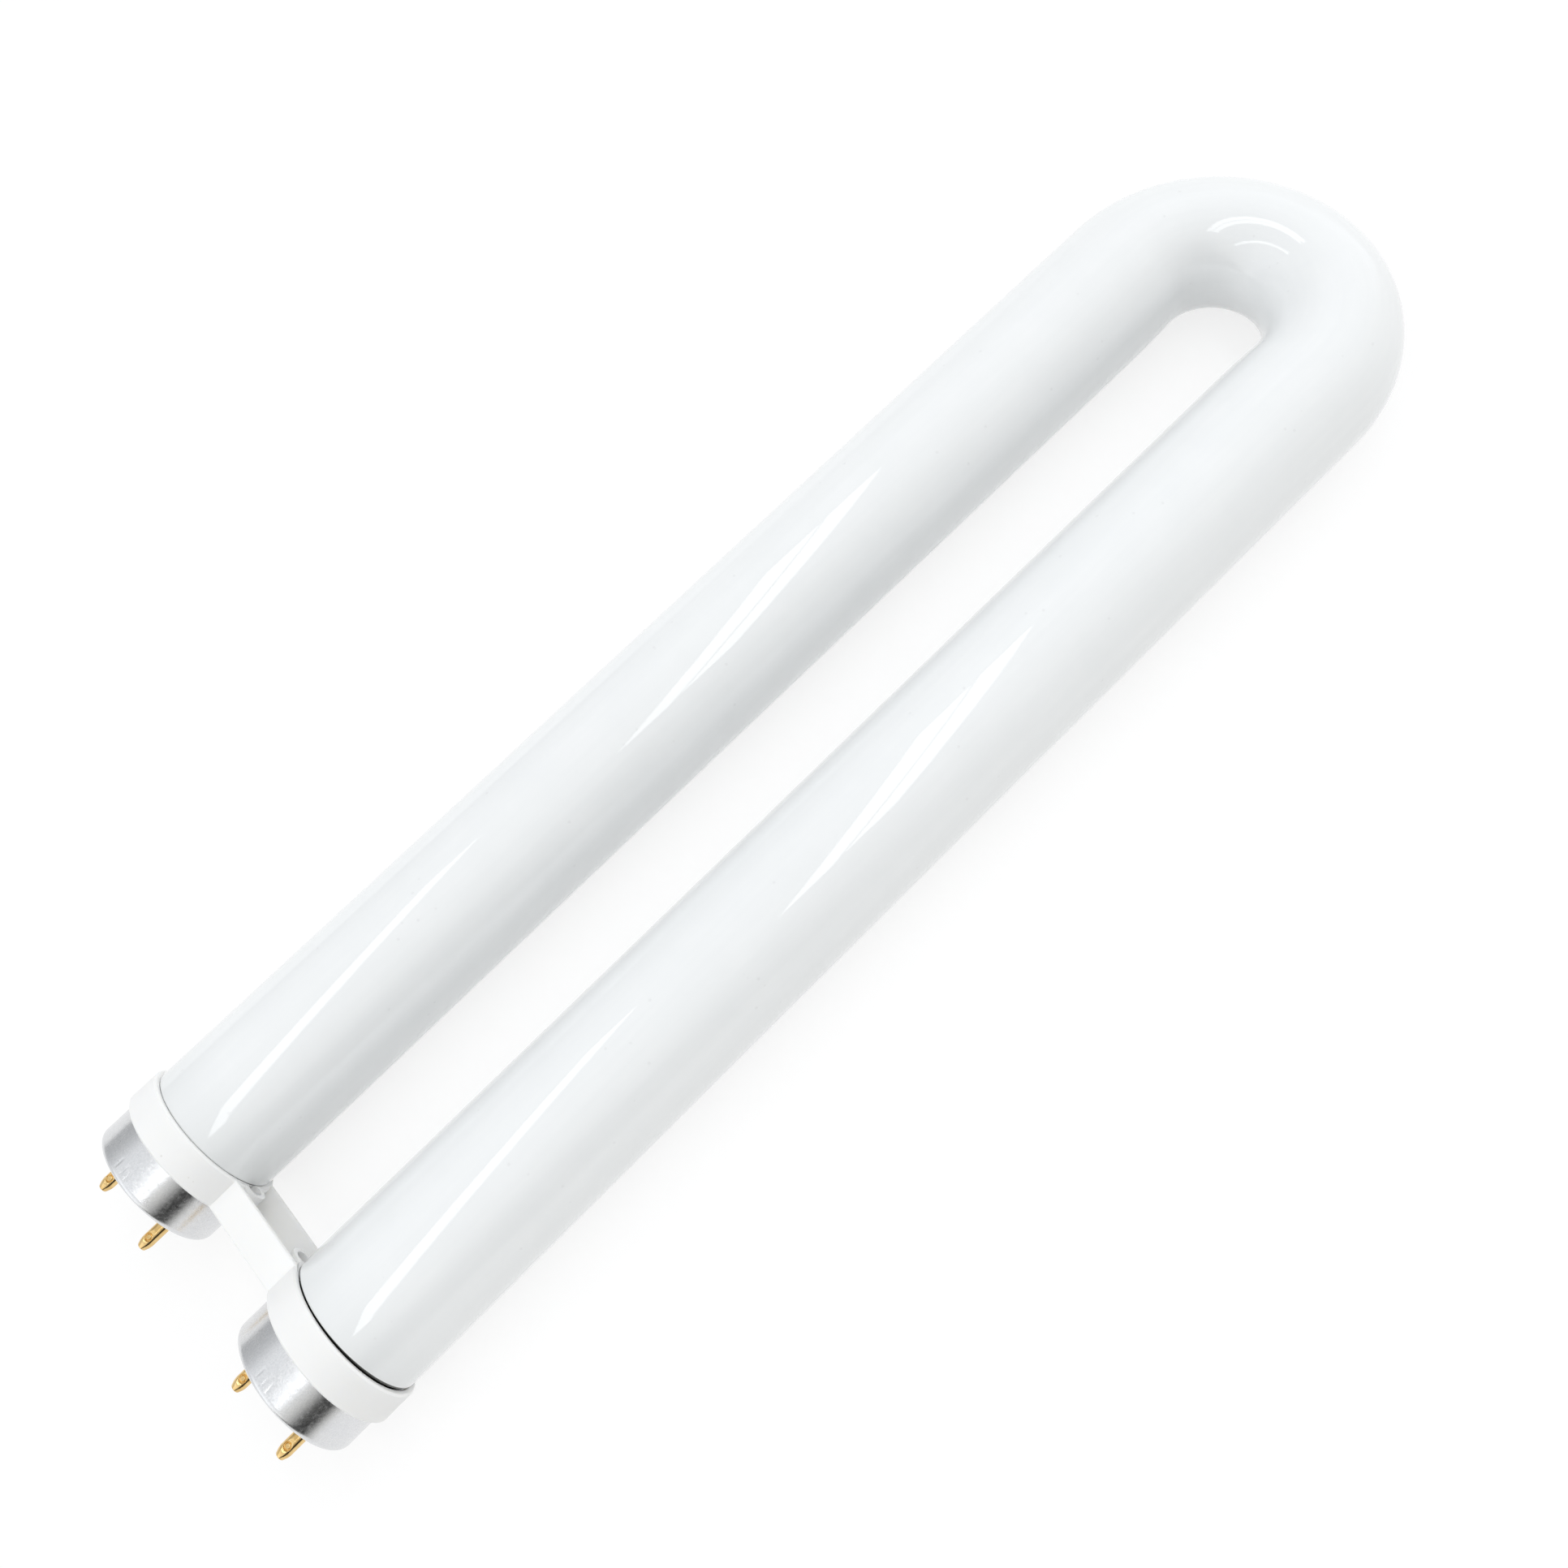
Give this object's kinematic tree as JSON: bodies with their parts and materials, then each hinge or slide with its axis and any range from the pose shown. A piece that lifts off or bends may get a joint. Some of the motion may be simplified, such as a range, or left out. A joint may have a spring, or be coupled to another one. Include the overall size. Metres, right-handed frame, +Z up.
{
  "type": "u shaped fluorescent lamp",
  "caption": "U-shaped fluorescent tube lamp with a metal bi-pin cap on each leg and a moulded brace that holds the legs apart.",
  "frame": {"origin": "under the middle of the lamp, on the surface that it lies on", "axes": "+X runs from the caps to the bend along the legs, +Y is to the left when looking along +X, and +Z is up"},
  "size_m": [0.2784, 0.0684, 0.0272],
  "materials": {
    "glass": "clear soda-lime glass, opaque white from the powder coating inside",
    "brace": "moulded white plastic, satin",
    "shell": "drawn aluminium, satin",
    "insulator": "pressed insulating board",
    "pin": "polished",
    "wire": "drawn nickel-plated wire",
    "cement": "baked capping cement"
  },
  "bodies": {
    "root": {"glass_tube": "glass", "leg_brace": "brace", "cap_shell_left": "shell", "base_cement_left": "cement", "insulator_plate_left": "insulator", "contact_pin_left_a": "pin", "lead_wire_left_a": "wire", "contact_pin_left_b": "pin", "lead_wire_left_b": "wire", "cap_shell_right": "shell", "base_cement_right": "cement", "insulator_plate_right": "insulator", "contact_pin_right_a": "pin", "lead_wire_right_a": "wire", "contact_pin_right_b": "pin", "lead_wire_right_b": "wire"}
  },
  "joints": []
}
